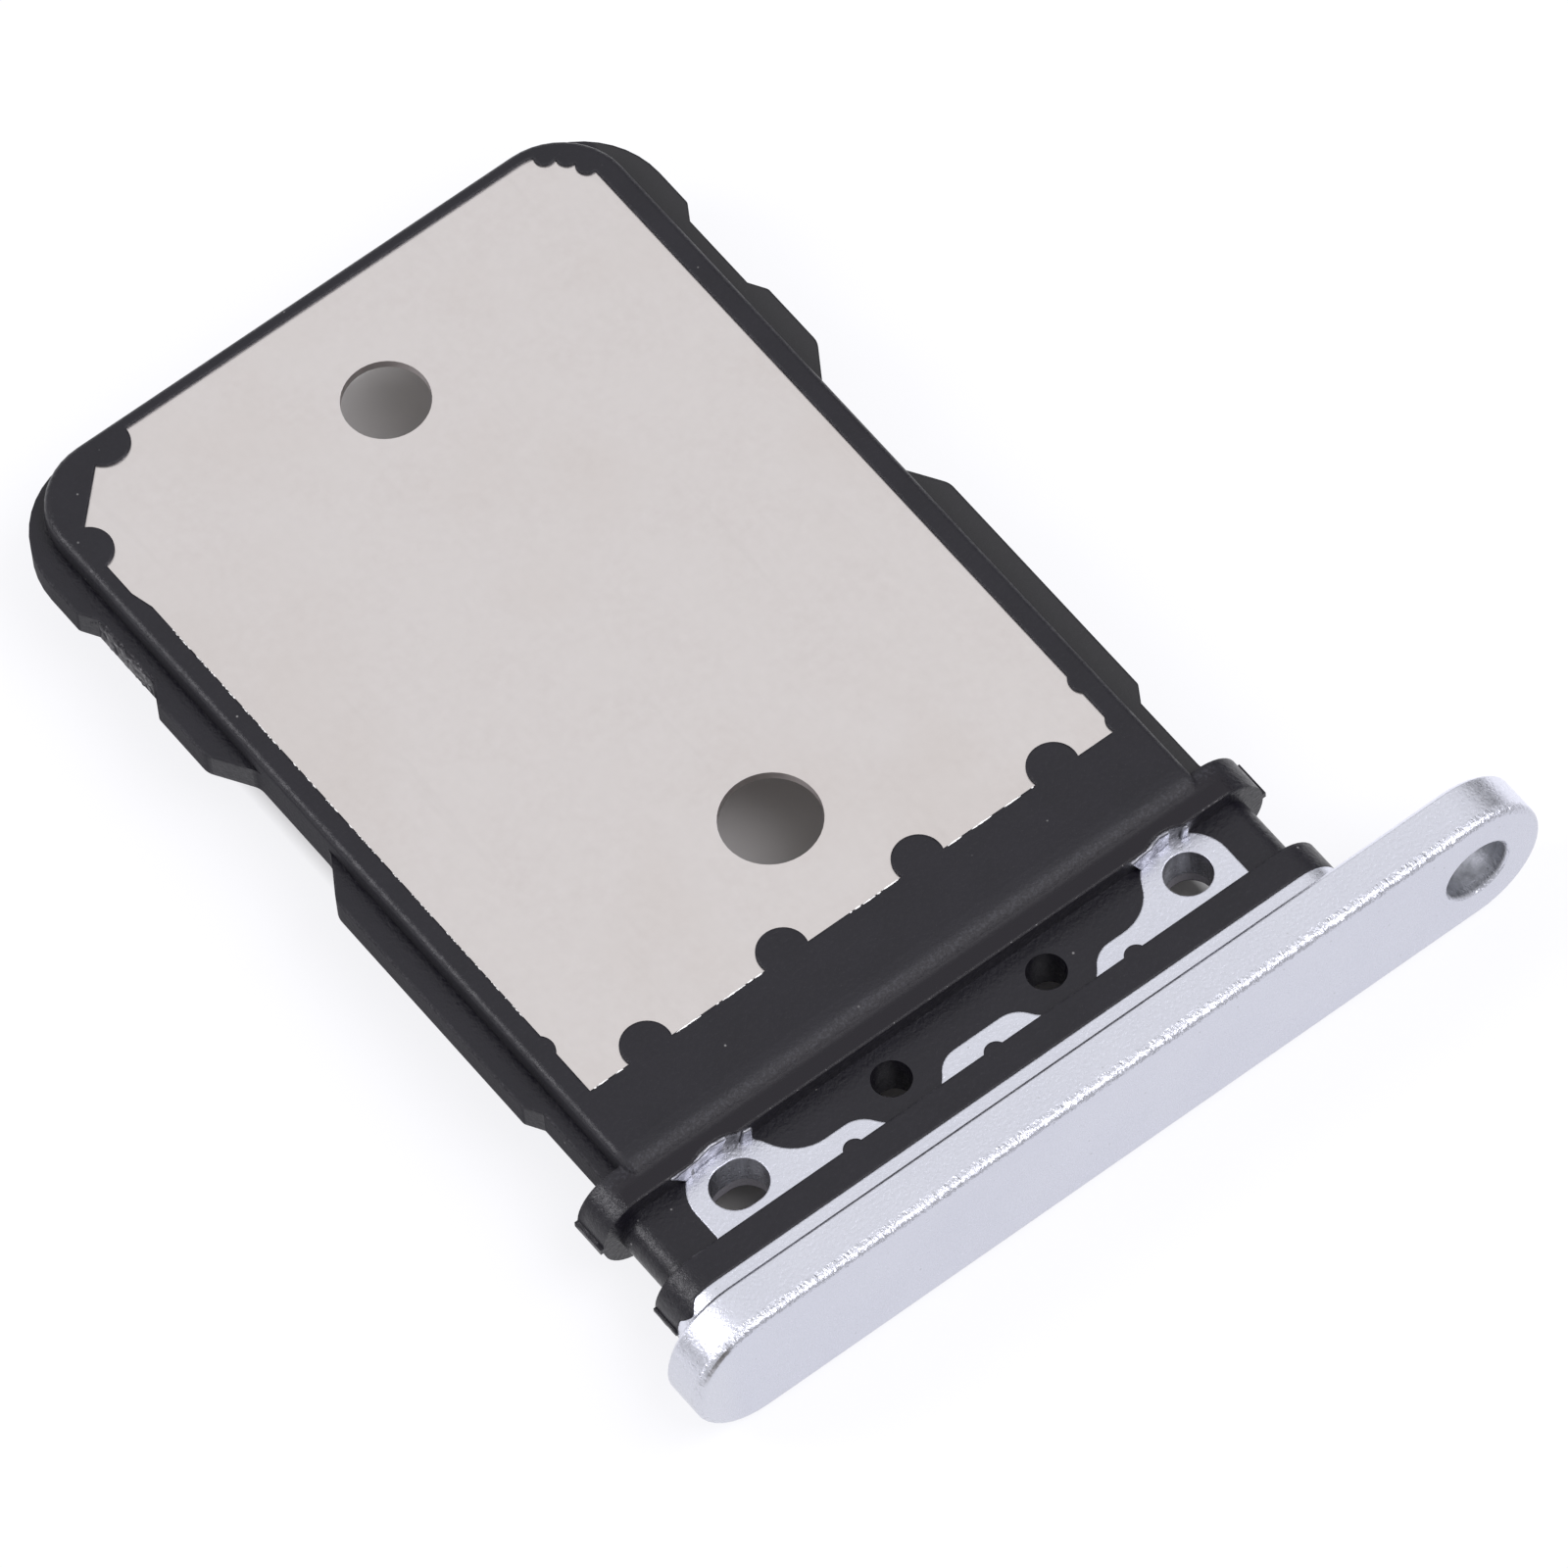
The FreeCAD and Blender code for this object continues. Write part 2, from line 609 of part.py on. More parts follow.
os.makedirs("parts", exist_ok=True)
for piece in (cap, plate, frame):
    if piece.Shape.isNull() or not piece.Shape.isValid():
        raise RuntimeError(f"{piece.Label} has no valid shape")
    piece.Shape.exportStep(f"parts/{piece.Label}.step")
    print(piece.Label, len(piece.Shape.Solids), "solid", round(piece.Shape.Volume, 3), "mm3")
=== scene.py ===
import bpy
import bmesh
import math
import random
from mathutils import Matrix, Vector, noise


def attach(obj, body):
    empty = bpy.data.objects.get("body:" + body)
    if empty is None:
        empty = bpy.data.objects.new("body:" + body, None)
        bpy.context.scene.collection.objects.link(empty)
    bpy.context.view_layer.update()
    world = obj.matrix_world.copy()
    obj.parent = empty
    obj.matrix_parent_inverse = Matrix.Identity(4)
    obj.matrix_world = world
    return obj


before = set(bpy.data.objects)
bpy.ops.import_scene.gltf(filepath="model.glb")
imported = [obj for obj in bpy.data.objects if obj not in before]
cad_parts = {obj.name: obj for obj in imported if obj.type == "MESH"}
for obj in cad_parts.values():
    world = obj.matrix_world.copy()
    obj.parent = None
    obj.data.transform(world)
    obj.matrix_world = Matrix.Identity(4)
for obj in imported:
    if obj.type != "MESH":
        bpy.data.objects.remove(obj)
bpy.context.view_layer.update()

MM = 0.001


# Camera: a long lens, nearly without perspective, at the photograph's angle. It was worked out in
# the photograph's pixels and in a unit of its own, from a point of its own.

PHOTO_SIZE = 1600
AZIMUTH, ELEVATION, ROLL = -31.99, 58.35, -6.36
UNIT = 0.37 * MM
FOCAL_PIXELS = 20000
PIXELS_PER_UNIT = 28
AIM_PIXEL = (784.7, 835.2)
TRAY_ORIGIN = (0.07, -15.13, -2.05)
SENSOR = 36
NEAREST, FARTHEST = 0.01, 5


def photo_camera():
    azimuth, elevation, roll = map(math.radians, (AZIMUTH, ELEVATION, ROLL))
    back = Vector((math.sin(azimuth) * math.cos(elevation),
                   -math.cos(azimuth) * math.cos(elevation), math.sin(elevation)))
    level = Vector((math.cos(azimuth), math.sin(azimuth), 0))
    rise = back.cross(level)
    right = math.cos(roll) * level + math.sin(roll) * rise
    up = -math.sin(roll) * level + math.cos(roll) * rise
    aim_x, aim_y = (pixel - PHOTO_SIZE / 2 for pixel in AIM_PIXEL)
    distance = FOCAL_PIXELS / PIXELS_PER_UNIT
    place = distance * (back - right * (aim_x / FOCAL_PIXELS) + up * (aim_y / FOCAL_PIXELS))
    place = (place - Vector(TRAY_ORIGIN)) * UNIT
    data = bpy.data.cameras.new("camera")
    data.sensor_width = SENSOR
    data.lens = SENSOR * FOCAL_PIXELS / PHOTO_SIZE
    data.clip_start, data.clip_end = NEAREST, FARTHEST
    camera = bpy.data.objects.new("camera", data)
    bpy.context.scene.collection.objects.link(camera)
    turn = Matrix((right, up, back)).transposed().to_4x4()
    camera.matrix_world = Matrix.Translation(place) @ turn
    bpy.context.scene.camera = camera


# Materials

def rgba(colour):
    """Red, green, blue and alpha, from three numbers or from one level of grey."""
    return (*colour, 1) if isinstance(colour, tuple) else (colour, colour, colour, 1)


class Nodes:
    """Short calls to build one material's node tree. Places and sizes are in millimetres."""

    def __init__(self, name):
        self.material = bpy.data.materials.new(name)
        self.material.use_nodes = True
        self.tree = self.material.node_tree
        self.shader = self.tree.nodes["Principled BSDF"]
        self.place = self.new("ShaderNodeTexCoord").outputs["Object"]

    def new(self, kind, **settings):
        node = self.tree.nodes.new(kind)
        for name, setting in settings.items():
            setattr(node, name, setting)
        return node

    def join(self, source, target):
        self.tree.links.new(source, target)

    def set(self, **values):
        """Plain numbers on the shader's own sockets."""
        for name, number in values.items():
            self.shader.inputs[name.replace("_", " ")].default_value = number

    def wire(self, **sources):
        """Node outputs joined to the shader's own sockets."""
        for name, source in sources.items():
            self.join(source, self.shader.inputs[name.replace("_", " ")])

    def math(self, operation, *sources):
        return self.reckon("ShaderNodeMath", operation, sources)

    def vector(self, operation, *sources):
        return self.reckon("ShaderNodeVectorMath", operation, sources)

    def reckon(self, kind, operation, sources):
        node = self.new(kind, operation=operation)
        for source, target in zip(sources, node.inputs):
            if isinstance(source, bpy.types.NodeSocket):
                self.join(source, target)
            else:
                target.default_value = source
        return next(item for item in node.outputs if item.enabled)

    def noise(self, size, detail=3, roughness=0.55, stretch=(1, 1, 1)):
        """Cloudy noise whose blots are about this size."""
        node = self.new("ShaderNodeTexNoise")
        node.inputs["Scale"].default_value = 1 / (size * MM)
        node.inputs["Detail"].default_value = detail
        node.inputs["Roughness"].default_value = roughness
        mapping = self.new("ShaderNodeMapping")
        mapping.inputs["Scale"].default_value = stretch
        self.join(self.place, mapping.inputs["Vector"])
        self.join(mapping.outputs["Vector"], node.inputs["Vector"])
        return node.outputs["Fac"]

    def ramp(self, source, *stops):
        node = self.new("ShaderNodeValToRGB")
        ends = node.color_ramp.elements
        while len(ends) < len(stops):
            ends.new(0.5)
        for end, (position, colour) in zip(ends, stops):
            end.position = position
            end.color = rgba(colour)
        self.join(source, node.inputs["Fac"])
        return node.outputs["Color"]

    def mix(self, share, first, second, kind="MIX"):
        node = self.new("ShaderNodeMix", data_type="RGBA", blend_type=kind)
        for source, name in ((share, "Factor"), (first, "A"), (second, "B")):
            target = next(item for item in node.inputs if item.name == name
                          and item.type == ("VALUE" if name == "Factor" else "RGBA"))
            if isinstance(source, bpy.types.NodeSocket):
                self.join(source, target)
            else:
                target.default_value = source if name == "Factor" else rgba(source)
        return next(item for item in node.outputs if item.type == "RGBA")

    def plain(self):
        """The surface's own normal."""
        return self.new("ShaderNodeNewGeometry").outputs["Normal"]

    def bevel(self, radius):
        node = self.new("ShaderNodeBevel", samples=4)
        node.inputs["Radius"].default_value = radius * MM
        return node.outputs["Normal"]

    def steer(self, rounded, share):
        """The rounded normal, given up for the plain one where the share is 1."""
        node = self.new("ShaderNodeMix", data_type="VECTOR")
        self.join(share, node.inputs["Factor"])
        vectors = [item for item in node.inputs if item.type == "VECTOR" and item.name in "AB"]
        self.join(rounded, vectors[0])
        self.join(self.plain(), vectors[1])
        return next(item for item in node.outputs if item.type == "VECTOR")

    def bump(self, source, distance, below=None, strength=1.0):
        node = self.new("ShaderNodeBump")
        node.inputs["Strength"].default_value = strength
        node.inputs["Distance"].default_value = distance * MM
        self.join(source, node.inputs["Height"])
        if below is not None:
            self.join(below, node.inputs["Normal"])
        return node.outputs["Normal"]

    def along(self, axis):
        parts = self.new("ShaderNodeSeparateXYZ")
        self.join(self.place, parts.inputs["Vector"])
        return parts.outputs[axis]

    def span(self, source, low, high):
        """0 before the first place and 1 past the second. An axis may stand for the source."""
        node = self.new("ShaderNodeMapRange")
        node.inputs["From Min"].default_value = low * MM
        node.inputs["From Max"].default_value = high * MM
        self.join(self.along(source) if isinstance(source, str) else source, node.inputs["Value"])
        return node.outputs["Result"]

    def between(self, axis, low, high, blend=0.02):
        """1 between two places along an axis and 0 outside them."""
        here = self.along(axis)
        return self.times(self.span(here, low - blend, low), self.span(here, high + blend, high))

    def times(self, first, second):
        return self.math("MULTIPLY", first, second)

    def specks(self, pitch, share, size):
        """Scattered dots: a share of the cells of this pitch holds one, of this size in cells."""
        node = self.new("ShaderNodeTexVoronoi")
        node.inputs["Scale"].default_value = 1 / (pitch * MM)
        self.join(self.place, node.inputs["Vector"])
        dots = self.ramp(node.outputs["Distance"], (size * 0.5, 1.0), (size, 0.0))
        parts = self.new("ShaderNodeSeparateColor")
        self.join(node.outputs["Color"], parts.inputs["Color"])
        some = self.ramp(parts.outputs["Red"], (1 - share - 0.01, 0.0), (1 - share, 1.0))
        return self.times(dots, some)


def frame_plastic():
    """Black glass-filled nylon: dull, finely pitted, with stray pale fibres at the surface, and
    painted paler along its edges, partly wear and partly a painted highlight, and paler still on
    the left ridge as a painted highlight. The right rail is painted a little paler as painted
    light, and the walls below the tongue's hole and slot are painted a lighter grey as painted
    light. The back flange's top is painted a deeper black as painted shade, and is glossier; the
    slope behind it has pale specks as a painted highlight and is duller, and the walls that face
    left are dullest."""
    m = Nodes("frame_plastic")
    m.set(IOR=1.5)

    # Edges are rounded in the shading, but not where the rails and the neck meet the rest
    off_middle = m.math("ABSOLUTE", m.along("X"))
    beside = m.times(m.span(off_middle, 4.77, 4.79), m.span(off_middle, 4.93, 4.91))
    rail_root = m.times(beside, m.span("Z", 0.56, 0.52))
    neck_root = m.times(m.between("Y", 0.86, 2.13), m.span("Z", 0.46, 0.43))
    rounded = m.steer(m.steer(m.bevel(0.065), rail_root), neck_root)
    lean = m.vector("DOT_PRODUCT", rounded, m.plain())

    body = m.ramp(m.noise(0.9), (0.35, (0.0052, 0.0044, 0.0092)), (0.65, (0.0072, 0.0062, 0.0118)))
    # Edges painted paler: partly wear, partly a painted highlight; the left ridge is painted paler
    # still, as a painted highlight.
    edges_worn_and_highlit = m.ramp(lean, (0.80, 0.6), (0.985, 0.0))
    patches = m.ramp(m.noise(0.10), (0.42, 0.0), (0.62, 1.0))
    left_ridge_highlight = m.times(m.between("X", -4.95, -4.60), m.span("Z", 0.56, 0.60))
    paler = m.mix(left_ridge_highlight, (0.058, 0.054, 0.066), (0.125, 0.120, 0.140))
    worn_and_highlit = m.mix(m.times(edges_worn_and_highlit, patches), body, paler)
    fibred = m.mix(m.specks(0.22, 0.10, 0.10), worn_and_highlit, (0.20, 0.195, 0.20))

    # Painted light: the plastic walls below the tongue's hole and slot are painted a lighter grey.
    walls = m.times(m.between("Z", -0.355, -0.175, 0.005), m.between("Y", 1.05, 1.95))
    outer_holes = m.math("SUBTRACT", 1.0, m.between("X", -3.0, 3.0))
    painted_hole_walls = m.mix(m.times(walls, outer_holes), fibred, (0.22, 0.21, 0.23))
    # Painted light: the right rail is painted paler, as if lit more from the right.
    right_rail = m.times(m.between("X", 4.84, 5.30, 0.03), m.span("Y", 2.60, 2.75))
    right_rail_painted_light = m.mix(right_rail, painted_hole_walls, (0.0195, 0.0190, 0.0220))
    upper = m.span("Z", 0.60, 0.63)
    # Painted shade: the back flange's top is painted a deeper black.
    flange_top = m.times(m.between("Y", 1.95, 2.42, 0.10), upper)
    flange_top_painted_shade = m.mix(flange_top, right_rail_painted_light, (0.0030, 0.0014, 0.0060))
    # Painted highlight: pale specks on the slope where its highlight falls.
    slope = m.times(m.between("Y", 2.42, 2.52, 0.05), upper)
    slope_painted_highlight = m.times(slope, m.ramp(m.noise(0.045, 2, 0.6), (0.50, 0.0), (0.60, 1.0)))

    grain = m.noise(0.07, 3, 0.65)
    dull = m.ramp(grain, (0.35, 0.28), (0.65, 0.42))
    glossy_top = m.mix(m.times(m.between("Y", 2.06, 2.26, 0.03), upper), dull, 0.20)
    dull_slope = m.mix(m.times(m.between("Y", 2.33, 2.72, 0.03), upper), glossy_top, 0.55)
    leftward = m.ramp(m.vector("DOT_PRODUCT", m.plain(), (-1, 0, 0)), (0.80, 0.0), (0.95, 1.0))
    left_walls = m.times(leftward, m.span("Y", 2.45, 2.60))
    m.wire(Base_Color=m.mix(slope_painted_highlight, flange_top_painted_shade, (0.020, 0.019, 0.027)),
           Roughness=m.mix(left_walls, dull_slope, 0.85),
           Normal=m.bump(grain, 0.011, rounded))
    return m.material


def cap_metal():
    """Clear anodised aluminium with a fine blasted grain, coarser on the front edge, where it
    breaks the highlight up. The walls of the holes are painted darker as painted shade, a thin
    darker line is painted at the front edge's left end, and the front face and the low left end
    are painted greyer as painted shade."""
    m = Nodes("cap_metal")
    m.set(Metallic=1.0)
    silver = m.ramp(m.noise(1.4), (0.3, (0.836, 0.850, 0.955)), (0.7, (0.866, 0.880, 0.980)))
    pitted = m.mix(m.specks(0.16, 0.12, 0.13), silver, (0.66, 0.67, 0.72))

    streaks = m.noise(0.12, 3, 0.6, stretch=(1, 1, 0.2))
    # Painted shade: the walls of the tongue's hole and slot are painted darker.
    tongue_walls = m.times(m.between("Y", 0.95, 2.4), m.between("Z", -0.20, 0.345))
    tongue_wall_painted_shade = m.ramp(streaks, (0.3, (0.28, 0.28, 0.32)), (0.7, (0.46, 0.47, 0.53)))
    painted_hole_walls = m.mix(tongue_walls, pitted, tongue_wall_painted_shade)
    pin_hole_x, pin_hole_wall = 7.11, (0.505, 0.53)
    flat = m.vector("MULTIPLY", m.place, (1, 0, 1))
    off_axis = m.vector("DISTANCE", flat, (pin_hole_x * MM, 0, 0))
    past_pin_hole = m.span(off_axis, *pin_hole_wall)
    # Painted shade: the pin hole's wall is painted darker.
    pin_wall_painted_shade = m.ramp(streaks, (0.3, (0.32, 0.33, 0.36)), (0.7, (0.50, 0.51, 0.56)))
    coat = m.mix(past_pin_hole, pin_wall_painted_shade, painted_hole_walls)

    # A thin darker line painted at the front edge's left end.
    dark_line = m.times(m.between("Y", -0.73, -0.70, 0.01), m.between("X", -6.2, -5.55, 0.12))
    dark_lined = m.mix(dark_line, coat, (0.33, 0.32, 0.33))
    # Painted shade: the front face is painted greyer.
    front_face_painted_shade = m.mix(1.0, dark_lined, m.mix(m.span("Y", -0.70, -0.62), 0.735, 1.0), "MULTIPLY")
    # Painted shade: the left end low down is painted greyer.
    low_left_painted_shade = m.times(m.span("X", -5.35, -5.75), m.span("Z", 0.85, 0.45))

    grain = m.noise(0.05, 3, 0.65)
    blasted = m.ramp(grain, (0.35, 0.26), (0.65, 0.36))
    blasted_normal = m.bump(grain, 0.008, m.bevel(0.03))
    front_edge = m.times(m.span("Y", -0.748, -0.736), m.span("Y", -0.57, -0.60))
    uneven = m.math("SUBTRACT", m.noise(0.05, 2, 0.6, stretch=(1, 0.35, 0.35)), 0.5)
    m.wire(Base_Color=m.mix(low_left_painted_shade, front_face_painted_shade, (0.64, 0.65, 0.71)),
           Roughness=m.mix(past_pin_hole, 0.55, blasted),
           Normal=m.bump(m.times(uneven, front_edge), 0.034, blasted_normal))
    return m.material


def plate_steel():
    """Rolled stainless sheet with faint warm stains and a few hair scratches."""
    m = Nodes("plate_steel")
    m.set(Metallic=1.0)
    steel = m.ramp(m.noise(0.9, 4), (0.35, (0.850, 0.798, 0.792)), (0.65, (0.872, 0.825, 0.820)))
    mottle = m.ramp(m.noise(0.14), (0.3, 0.0), (0.7, 1.0))
    mottled = m.mix(mottle, steel, (0.884, 0.836, 0.832))
    stains = m.ramp(m.noise(4.2), (0.50, 0.0), (0.75, 0.6))
    stained = m.mix(stains, mottled, (0.815, 0.750, 0.725))
    hair = m.ramp(m.noise(0.35, 2, 0.5, stretch=(1, 0.05, 1)), (0.66, 0.0), (0.72, 0.12))
    grain = m.noise(0.08, 4, 0.6, stretch=(1, 0.3, 1))
    m.wire(Base_Color=m.mix(hair, stained, (0.74, 0.70, 0.69)),
           Roughness=m.ramp(grain, (0.35, 0.28), (0.65, 0.33)),
           Normal=m.bump(grain, 0.002, strength=0.5))
    return m.material


def glint_painted_edge():
    """Steel along a sheared edge, painted whitish and uneven as a painted glint."""
    m = Nodes("glint_painted_edge")
    m.set(Metallic=0.1)
    m.wire(Base_Color=m.ramp(m.noise(0.05, 2), (0.35, (0.92, 0.90, 0.90)), (0.6, 1.0)),
           Roughness=m.ramp(m.noise(0.03, 2), (0.3, 0.20), (0.7, 0.40)))
    return m.material


def smeared_metal():
    """Metal wiped by the mould's shut-off, with thin streaks of black left on it."""
    m = Nodes("smeared_metal")
    m.set(Metallic=0.75)
    streaks = m.ramp(m.noise(0.22, 4, 0.6), (0.38, 0.0), (0.68, 1.0))
    m.wire(Base_Color=m.mix(streaks, (0.36, 0.365, 0.40), (0.10, 0.10, 0.12)),
           Roughness=m.ramp(m.noise(0.1, 2), (0.3, 0.30), (0.7, 0.50)),
           Normal=m.bump(m.noise(0.08), 0.010))
    return m.material


def torn_plastic(name, middle, pale):
    """The black nylon where it broke or flashed: greyer and rough, with paler scraps."""
    m = Nodes(name)
    m.set(IOR=1.5)
    torn = m.noise(0.09, 4, 0.65)
    m.wire(Base_Color=m.ramp(torn, (0.38, (0.009, 0.008, 0.013)), (0.54, middle), (0.70, pale)),
           Roughness=m.ramp(m.noise(0.05, 2), (0.3, 0.35), (0.7, 0.6)),
           Normal=m.bump(m.noise(0.06, 4, 0.65), 0.02))
    return m.material


def dress(node, material):
    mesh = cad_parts[node].data
    mesh.materials.clear()
    mesh.materials.append(material)


# Small pieces that ride on the tray. Their points and sizes are in millimetres.

def add_piece(name, mesh, material, smooth=False):
    mesh.name = name
    mesh.materials.append(material)
    for polygon in mesh.polygons:
        polygon.use_smooth = smooth
    piece = bpy.data.objects.new(name, mesh)
    bpy.context.scene.collection.objects.link(piece)
    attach(piece, "root")


def mesh_of(points, faces):
    mesh = bpy.data.meshes.new("piece")
    mesh.from_pydata([tuple(MM * c for c in point) for point in points], [], faces)
    mesh.update()
    return mesh


def ripple(place, size, seed):
    """Smooth noise from -1 to 1 whose waves are about this long."""
    return noise.noise(Vector(place) / size + Vector((seed * 7.3, seed * 3.1, seed)))


def runs_of(path):
    return [(Vector(b) - Vector(a)).length for a, b in zip(path, path[1:])]


def at(path, share):
    """The point this share of the way along a path of straight runs."""
    lengths = runs_of(path)
    left = share * sum(lengths)
    for start, end, length in zip(path, path[1:], lengths):
        if left <= length:
            return Vector(start).lerp(Vector(end), left / length)
        left -= length
    return Vector(path[-1])


def lifted(path, height):
    return [(x, y, height) for x, y in path]


def add_wall(name, foot, head, inward, swell, ragged, material, seed):
    """A thin lumpy wall between two paths, backed by the same wall moved inward."""
    column_width, lump_size, bite_size = 0.025, 0.09, 0.07
    columns, rows = max(6, round(sum(runs_of(head)) / column_width)), 6
    points, faces = [], []
    for layer in (0, 1):
        for i in range(columns + 1):
            low, high = at(foot, i / columns), at(head, i / columns)
            bite = ragged * (0.5 + 0.5 * ripple(high, bite_size, seed + 2))
            high = high.lerp(low, bite)
            for j in range(rows + 1):
                place = low.lerp(high, j / rows)
                lump = swell * ripple(place, lump_size, seed) * (1 - layer)
                points.append(place - Vector(inward).normalized() * lump + Vector(inward) * layer)
    stride, back = rows + 1, (columns + 1) * (rows + 1)
    for i in range(columns):
        for j in range(rows):
            a = i * stride + j
            faces.append((a, a + stride, a + stride + 1, a + 1))
            faces.append((back + a, back + a + 1, back + a + stride + 1, back + a + stride))
        for j in (0, rows):
            a = i * stride + j
            faces.append((a, back + a, back + a + stride, a + stride))
    for i in (0, columns):
        for j in range(rows):
            a = i * stride + j
            faces.append((a, a + 1, back + a + 1, back + a))
    mesh = mesh_of(points, faces)
    shell = bmesh.new()
    shell.from_mesh(mesh)
    bmesh.ops.recalc_face_normals(shell, faces=shell.faces)
    shell.to_mesh(mesh)
    shell.free()
    add_piece(name, mesh, material, smooth=True)


def add_dashes(name, start, end, width, height, share, longest, material, seed):
    """Short uneven ridges in a row from start to end, on a level face, with gaps between."""
    step, sunk = 0.03, Vector((0, 0, 0.01))
    dice = random.Random(seed)
    start, end = Vector(start), Vector(end)
    length = (end - start).length
    ahead = (end - start).normalized()
    side = Vector((-ahead.y, ahead.x, 0))
    points, faces = [], []
    walked = 0
    while walked < length:
        run = longest * (0.1 + 0.9 * dice.random() ** 2)
        run = min(run, length - walked)
        if dice.random() < share:
            count = max(3, round(run / step))
            shift = side * width * 0.3 * (dice.random() - 0.5)
            for index in range(count + 1):
                place = start + ahead * (walked + run * index / count) + shift
                taper = math.sin(math.pi * index / count) ** 0.5
                half = width / 2 * taper * (0.5 + 0.5 * dice.random())
                crest = height * taper * (0.5 + 0.5 * dice.random())
                base = len(points)
                points.extend((place + side * half - sunk,
                               place + side * half * 0.3 + Vector((0, 0, crest)),
                               place - side * half * 0.9 + Vector((0, 0, crest * 0.55)),
                               place - side * half - sunk))
                if index:
                    faces.extend((base - 4 + k, base - 3 + k, base + 1 + k, base + k)
                                 for k in range(3))
                    faces.append((base - 1, base - 4, base, base + 3))
                else:
                    faces.append((base + 3, base + 2, base + 1, base))
            faces.append((base, base + 1, base + 2, base + 3))
        walked += run * (1 if dice.random() < 0.6 else 1.5)
    add_piece(name, mesh_of(points, faces), material)


def add_collars(material):
    """The tongue's metal shows as a wiped wall where each lobe runs in under the back flange."""
    neck_top, inward, swell, ragged, first_seed = 0.371, (0, 0.06, 0), 0.010, 0.08, 3
    walls = {
        "eye_collar": (0.650, [(3.49, 1.950), (3.735, 2.030), (4.032, 2.062)],
                       [(3.34, 1.975), (3.695, 2.004), (3.90, 2.082), (4.071, 2.052)]),
        "eye_collar_end": (0.60, [(4.20, 2.000), (4.316, 1.996)], [(4.255, 2.008), (4.325, 1.988)]),
        "slot_collar": (0.650, [(-4.21, 1.995), (-3.94, 2.050), (-3.55, 2.075)],
                        [(-4.44, 1.990), (-4.00, 2.015), (-3.69, 2.085), (-3.45, 2.050)]),
        "slot_collar_end": (0.59, [(-3.29, 1.990), (-3.12, 1.950)],
                            [(-3.22, 2.000), (-3.09, 1.975)]),
    }
    for seed, (name, (top, foot, head)) in enumerate(walls.items(), first_seed):
        add_wall(name, lifted(foot, neck_top), lifted(head, top), inward, swell, ragged,
                 material, seed)


def add_burrs(material):
    """Dashes on the plate's sheared edge, along the window's left side and between the lands, in a
    whitish painted glint.
    """
    left, left_level = -4.474, 0.762
    for name, far, near, width, share, longest, seed in (
            ("plate_burr_left_far", 13.15, 9.0, 0.024, 0.70, 0.12, 11),
            ("plate_burr_left_near", 9.0, 5.2, 0.018, 0.50, 0.09, 12)):
        add_dashes(name, (left, far, left_level), (left, near, left_level), width, 0.005, share,
                   longest, material, seed)
    near_y, near_level = 3.724, 0.757
    runs = ((-4.42, -3.85, 0.85), (-3.05, -1.55, 0.95), (-0.75, 0.75, 0.85), (1.55, 3.05, 0.9))
    for number, (start, end, share) in enumerate(runs, 1):
        add_dashes(f"plate_burr_near_{number}", (start, near_y, near_level),
                   (end, near_y, near_level), 0.030, 0.018, share, 0.5, material,
                   20 + number)


def add_torn_waist(material):
    """The left rail's far waist, where the frame was broken from its runner."""
    foot_z, head_z, chips_z = 0.02, 0.460, 0.45
    foot = lifted([(-5.083, 12.83), (-5.083, 14.06)], foot_z)
    head = lifted([(-5.090, 12.83), (-5.105, 13.3), (-5.083, 14.06)], head_z)
    add_wall("torn_waist", foot, head, (0.07, 0, 0), 0.030, 0.14, material, 41)
    add_dashes("torn_waist_chips", (-5.065, 12.80, chips_z), (-5.065, 14.0, chips_z),
               0.06, 0.012, 0.8, 0.12, material, 42)
    add_dashes("torn_waist_specks", (-5.20, 14.16, chips_z), (-5.08, 14.02, chips_z),
               0.05, 0.012, 0.6, 0.06, material, 43)


def add_flash(material):
    """Thin flash left where the mould halves met, along the back flange's front edge."""
    level = 0.648
    add_dashes("flash_slot_side", (-4.98, 2.034, level), (-4.42, 2.034, level),
               0.035, 0.012, 0.8, 0.12, material, 31)
    add_dashes("flash_middle", (-2.95, 2.036, level), (3.3, 2.036, level),
               0.025, 0.008, 0.12, 0.10, material, 32)
    add_dashes("flash_eye_side", (4.60, 2.034, level), (5.05, 2.034, 0.646),
               0.035, 0.012, 0.8, 0.15, material, 33)


def add_front_rib(material):
    """A low rib on the front flange's left end, where the mould's halves met."""
    path = [(-5.630, 0.385), (-5.630, 0.88)]
    add_wall("front_rib_left", lifted(path, -0.045), lifted(path, 0.035), (0.05, 0, 0),
             0.006, 0.05, material, 50)


